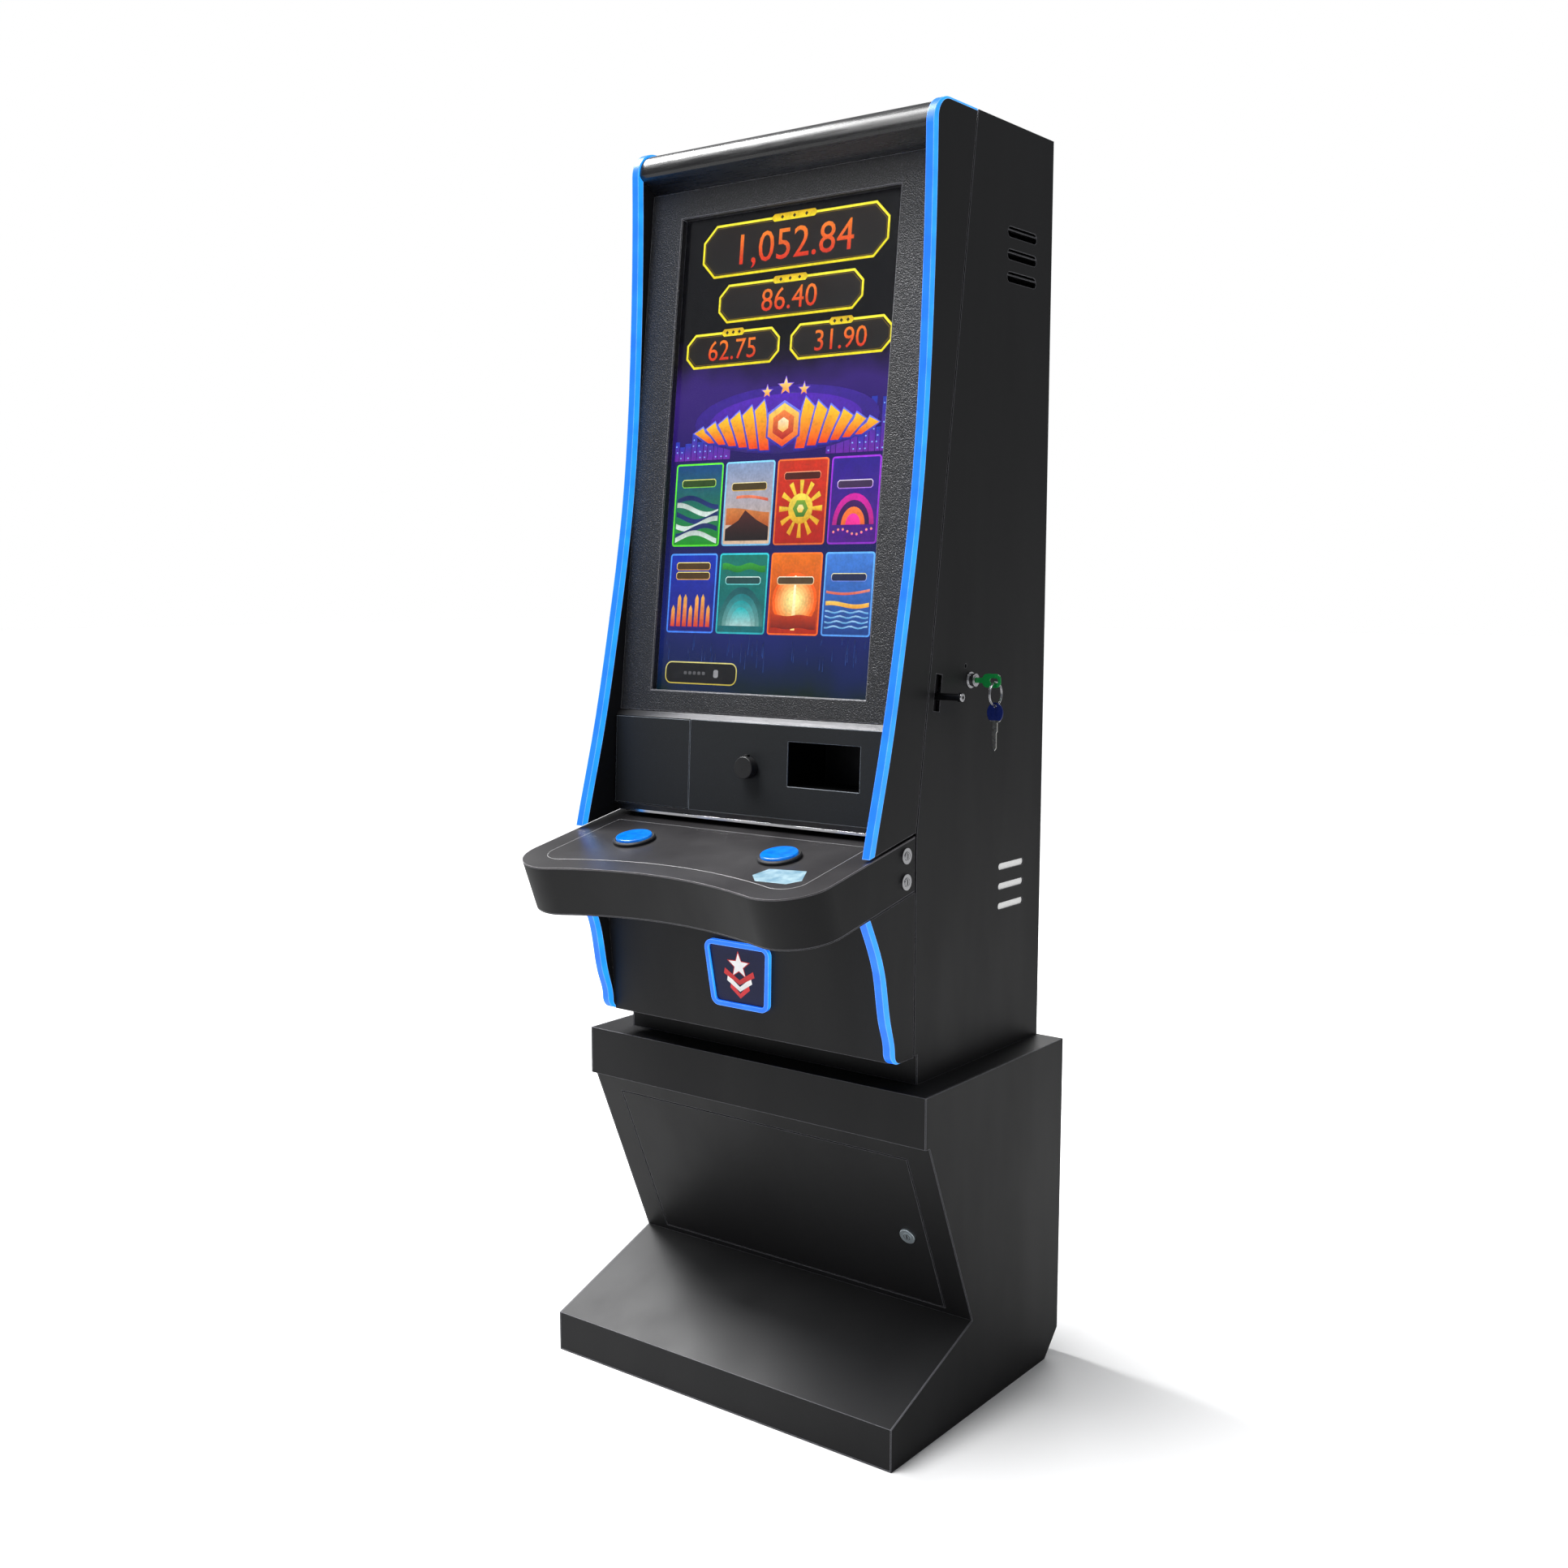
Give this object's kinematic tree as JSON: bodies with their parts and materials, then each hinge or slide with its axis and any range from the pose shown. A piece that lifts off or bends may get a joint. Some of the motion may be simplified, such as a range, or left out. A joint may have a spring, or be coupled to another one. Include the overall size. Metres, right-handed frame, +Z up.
{
  "type": "video game cabinet",
  "caption": "Floor-standing video game cabinet: portrait display door with light strips, sloping button deck and lockable steel stand.",
  "frame": {"origin": "centre of the stand's footprint, on the floor", "axes": "+Z up, +Y towards the cabinet's back, +X to the player's right"},
  "size_m": [0.6495, 0.6378, 1.888],
  "materials": {
    "stand_paint": "fine textured powder coat",
    "cabinet_paint": "fine textured powder coat",
    "bezel_paint": "coarse textured powder coat",
    "panel_paint": "fine textured paint",
    "gloss_black": "gloss",
    "deck_laminate": "semi-gloss laminate",
    "light_strip": "translucent, lit blue",
    "button_blue": "translucent, lit blue",
    "black_plastic": "satin",
    "glass": "clear",
    "screen": "display panel",
    "chrome": "polished",
    "zinc": "zinc plated",
    "black_steel": "black oxide",
    "emblem_face": "printed",
    "filter_white": "felt",
    "green_plastic": "moulded",
    "blue_plastic": "moulded",
    "aluminium": "plain sheet"
  },
  "bodies": {
    "cabinet": {"belly_panel": "cabinet_paint", "button_housings": "black_plastic", "cabinet_back": "cabinet_paint", "cabinet_floor": "cabinet_paint", "cabinet_screws": "zinc", "cabinet_side_left": "cabinet_paint", "cabinet_side_right": "cabinet_paint", "cabinet_top": "cabinet_paint", "deck_apron": "cabinet_paint", "deck_bottom": "cabinet_paint", "deck_top": "deck_laminate", "door_frame": "black_steel", "emblem_plate": "emblem_face", "emblem_rim": "light_strip", "fan_frame": "black_plastic", "game_computer": "aluminium", "hinge_leaves_fixed": "black_steel", "lock_bodies": "chrome", "lower_cheeks": "cabinet_paint", "lower_light_trims": "light_strip", "power_inlet": "black_plastic", "power_supply": "aluminium", "speakers": "black_plastic", "stand_back_and_floor": "stand_paint", "stand_foot": "stand_paint", "stand_hinge_pins": "zinc", "stand_side_left": "stand_paint", "stand_side_right": "stand_paint", "stand_skirt": "stand_paint", "stand_top_tray": "stand_paint", "vent_filters": "filter_white"},
    "display_door": {"door_cheek_left": "cabinet_paint", "door_cheek_right": "cabinet_paint", "door_light_trims": "light_strip", "door_hood": "gloss_black", "display_bezel": "bezel_paint", "touch_glass": "glass", "lcd_panel": "screen", "monitor_brackets": "zinc", "door_crossbars": "panel_paint", "bill_panel": "panel_paint", "bill_acceptor_cage": "black_steel", "chrome_strip": "chrome", "hinge_leaves_door": "black_steel", "door_strikers": "zinc"},
    "access_flap": {"access_flap": "panel_paint"},
    "knob": {"knob": "black_plastic"},
    "main_lock_plug": {"main_lock_plug": "chrome", "green_key": "green_plastic"},
    "key_ring": {"key_ring": "chrome"},
    "blue_key": {"blue_key": "blue_plastic"},
    "release_lever": {"release_lever": "black_steel"},
    "key_switch_upper": {"key_switch_plug_upper": "chrome"},
    "key_switch_lower": {"key_switch_plug_lower": "chrome"},
    "button_left": {"button_cap_left": "button_blue"},
    "button_right": {"button_cap_right": "button_blue"},
    "stand_door": {"stand_door": "stand_paint", "stand_lock_body": "chrome"},
    "stand_lock_plug": {"stand_lock_plug": "chrome"},
    "fan_rotor": {"fan_rotor": "black_plastic"}
  },
  "joints": [
    {"name": "display_door_hinge", "type": "hinge", "parent": "cabinet", "child": "display_door", "pos_m": [-0.278, -0.12049, 0.8757], "axis": [0, -0.137, -0.9906], "range_deg": [0, 100]},
    {"name": "access_flap_hinge", "type": "hinge", "parent": "display_door", "child": "access_flap", "pos_m": [-0.2555, -0.1604, 0.88852], "axis": [0, -0.044, -0.999], "range_deg": [0, 80]},
    {"name": "knob_turn", "type": "hinge", "parent": "display_door", "child": "knob", "pos_m": [0.008, -0.16128, 0.95963], "axis": [0, -0.999, 0.044], "range_deg": [-140, 140]},
    {"name": "main_lock_turn", "type": "hinge", "parent": "cabinet", "child": "main_lock_plug", "pos_m": [0.273, 0.018, 1.09], "axis": [1, 0, 0], "range_deg": [0, 90]},
    {"name": "key_ring_swing", "type": "hinge", "parent": "main_lock_plug", "child": "key_ring", "pos_m": [0.3165, 0.018, 1.08804], "axis": [1, 0, 0], "range_deg": [-30, 30]},
    {"name": "blue_key_swing", "type": "hinge", "parent": "key_ring", "child": "blue_key", "pos_m": [0.3165, 0.018, 1.05404], "axis": [0, 1, 0], "range_deg": [-60, 30]},
    {"name": "release_lever_slide", "type": "slide", "parent": "cabinet", "child": "release_lever", "axis": [0, 0.137, 0.9906], "range_m": [-0.012, 0.022], "stiffness_N_per_m": 400, "springref_m": 0.0107},
    {"name": "key_switch_upper_turn", "type": "hinge", "parent": "cabinet", "child": "key_switch_upper", "pos_m": [0.272, -0.146, 0.852], "axis": [1, 0, 0], "range_deg": [0, 90]},
    {"name": "key_switch_lower_turn", "type": "hinge", "parent": "cabinet", "child": "key_switch_lower", "pos_m": [0.272, -0.146, 0.815], "axis": [1, 0, 0], "range_deg": [0, 90]},
    {"name": "button_left_press", "type": "slide", "parent": "cabinet", "child": "button_left", "axis": [0, 0.2023, -0.9793], "range_m": [0, 0.0035], "stiffness_N_per_m": 600, "springref_m": -0.004},
    {"name": "button_right_press", "type": "slide", "parent": "cabinet", "child": "button_right", "axis": [0, 0.2023, -0.9793], "range_m": [0, 0.0035], "stiffness_N_per_m": 600, "springref_m": -0.004},
    {"name": "stand_door_hinge", "type": "hinge", "parent": "cabinet", "child": "stand_door", "pos_m": [-0.269, -0.02131, 0.14605], "axis": [0, 0.3885, -0.9215], "range_deg": [0, 45]},
    {"name": "stand_lock_turn", "type": "hinge", "parent": "stand_door", "child": "stand_lock_plug", "pos_m": [0.24, -0.07962, 0.27406], "axis": [0, 0.9215, 0.3885], "range_deg": [0, 90]},
    {"name": "fan_spin", "type": "hinge", "parent": "cabinet", "child": "fan_rotor", "pos_m": [0, 0.239, 1.698], "axis": [0, 1, 0], "continuous": true}
  ]
}
